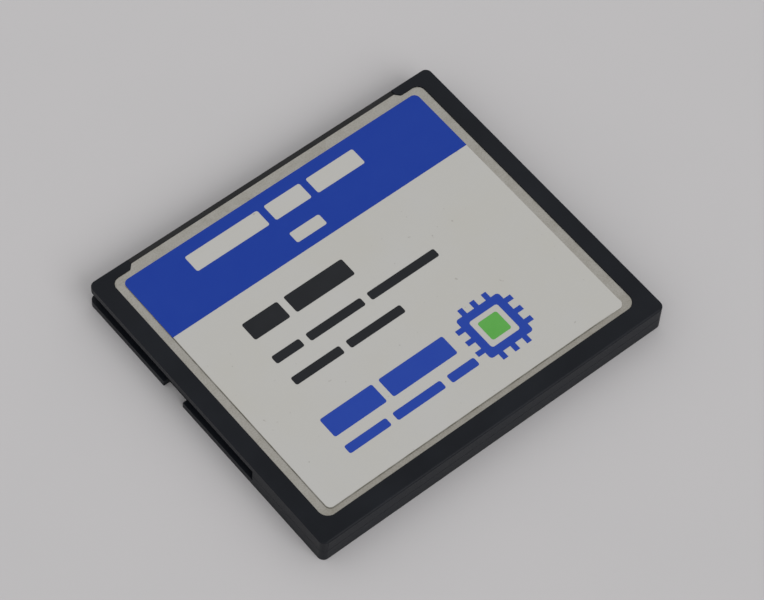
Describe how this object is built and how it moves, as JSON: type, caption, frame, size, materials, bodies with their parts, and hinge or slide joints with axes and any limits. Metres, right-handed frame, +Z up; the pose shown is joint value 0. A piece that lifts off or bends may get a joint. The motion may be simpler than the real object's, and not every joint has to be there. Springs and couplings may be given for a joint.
{
  "type": "memory card",
  "caption": "Flat removable memory card with a moulded rim, steel covers, a printed label, side guide slots and a socket connector along one edge.",
  "frame": {"origin": "centre of the underside of the card as it lies flat, label up", "axes": "+X along the connector, +Y towards the connector edge and the way the card is pushed in, +Z up out of the label"},
  "size_m": [0.0428, 0.0364, 0.0033],
  "materials": {
    "rim_plastic": "fine moulded texture",
    "cover_steel": "satin",
    "label_stock": "satin film",
    "band_ink": "printed",
    "dark_ink": "printed",
    "blue_ink": "printed",
    "green_ink": "printed",
    "film": "smooth amber film",
    "housing_plastic": "moulded",
    "contact_metal": "gold plated",
    "lock_metal": "tinned",
    "board": "green mask",
    "chip_plastic": "moulded",
    "lead_metal": "tinned",
    "crystal_ceramic": "fired",
    "crystal_metal": "plated",
    "bulk_plastic": "moulded",
    "capacitor_ceramic": "fired",
    "resistor_ceramic": "glazed",
    "end_metal": "tinned"
  },
  "bodies": {
    "root": {"top_frame": "rim_plastic", "bottom_frame": "rim_plastic", "top_panel": "cover_steel", "bottom_panel": "cover_steel", "label": "label_stock", "label_band": "band_ink", "label_dark_bars": "dark_ink", "label_blue_marks": "blue_ink", "label_green_mark": "green_ink", "top_film": "film", "bottom_film": "film", "connector_housing": "housing_plastic", "upper_contacts": "contact_metal", "lower_contacts": "contact_metal", "board_locks": "lock_metal", "circuit_board": "board", "controller_body": "chip_plastic", "controller_leads": "lead_metal", "flash_body": "chip_plastic", "flash_leads": "lead_metal", "detector_body": "chip_plastic", "detector_leads": "lead_metal", "crystal_base": "crystal_ceramic", "crystal_lid": "crystal_metal", "bulk_capacitor_bodies": "bulk_plastic", "bulk_capacitor_terminals": "end_metal", "ceramic_capacitor_bodies": "capacitor_ceramic", "ceramic_capacitor_ends": "end_metal", "resistor_bodies": "resistor_ceramic", "resistor_ends": "end_metal", "network_bodies": "resistor_ceramic", "network_ends": "end_metal"}
  },
  "joints": []
}
